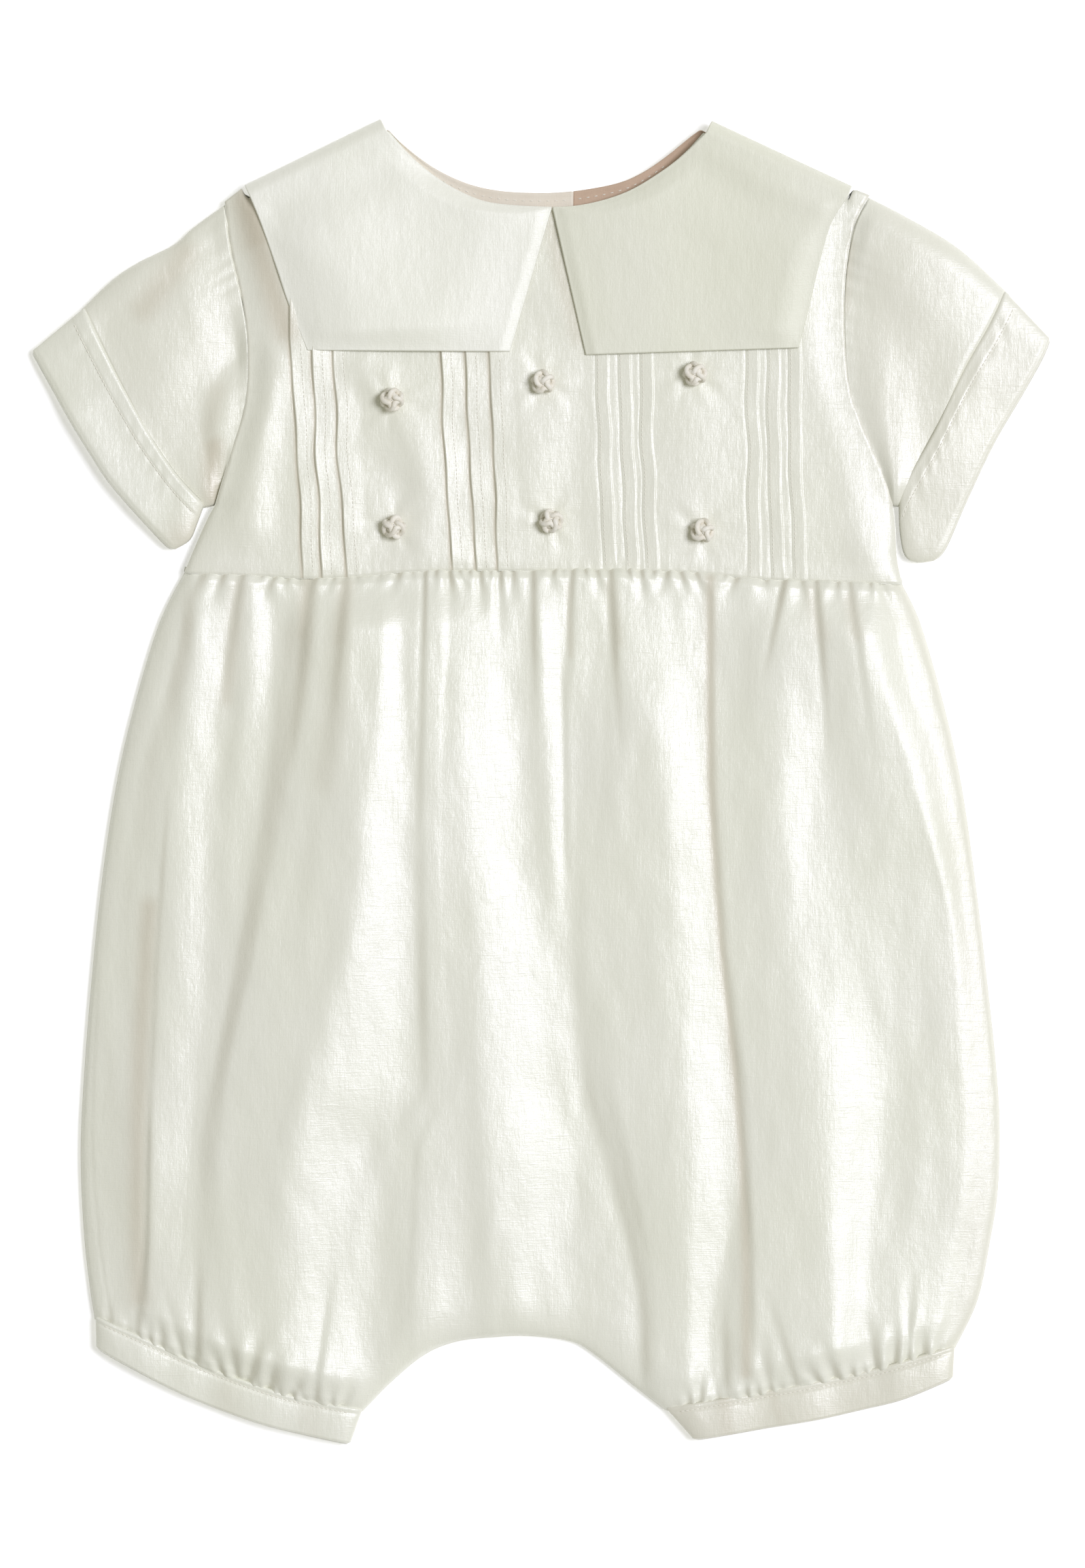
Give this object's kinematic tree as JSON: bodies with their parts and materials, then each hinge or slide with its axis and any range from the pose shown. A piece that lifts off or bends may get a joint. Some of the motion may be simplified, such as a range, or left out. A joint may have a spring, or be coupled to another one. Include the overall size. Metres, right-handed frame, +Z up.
{
  "type": "baby romper",
  "caption": "Short-sleeved baby romper laid flat: wide split collar, pin-tucked bodice with knotted buttons, gathered bubble body and leg bands.",
  "frame": {"origin": "on the surface that the romper lies on, under the middle of its outline", "axes": "+Y from the legs to the neck, +X to the viewer's right across the front, +Z up from the surface through the front"},
  "size_m": [0.323, 0.4204, 0.0137],
  "materials": {
    "ivory_silk": "lustrous ivory silk with fine slubs",
    "collar_cloth": "the same ivory silk, stiffened, a little more matt",
    "facing_cloth": "matt pale beige lining",
    "knot_cord": "matt cream cord, knotted"
  },
  "bodies": {
    "root": {"front_body": "ivory_silk", "back_body": "ivory_silk", "front_bodice": "ivory_silk", "back_bodice_left": "ivory_silk", "back_bodice_right": "ivory_silk", "neck_facing_left": "facing_cloth", "neck_facing_right": "facing_cloth", "collar_left": "collar_cloth", "collar_right": "collar_cloth", "sleeve_left": "ivory_silk", "sleeve_right": "ivory_silk", "sleeve_cuff_left": "ivory_silk", "sleeve_cuff_right": "ivory_silk", "leg_band_left": "ivory_silk", "leg_band_right": "ivory_silk", "button_upper_left": "knot_cord", "button_upper_middle": "knot_cord", "button_upper_right": "knot_cord", "button_lower_left": "knot_cord", "button_lower_middle": "knot_cord", "button_lower_right": "knot_cord"}
  },
  "joints": []
}
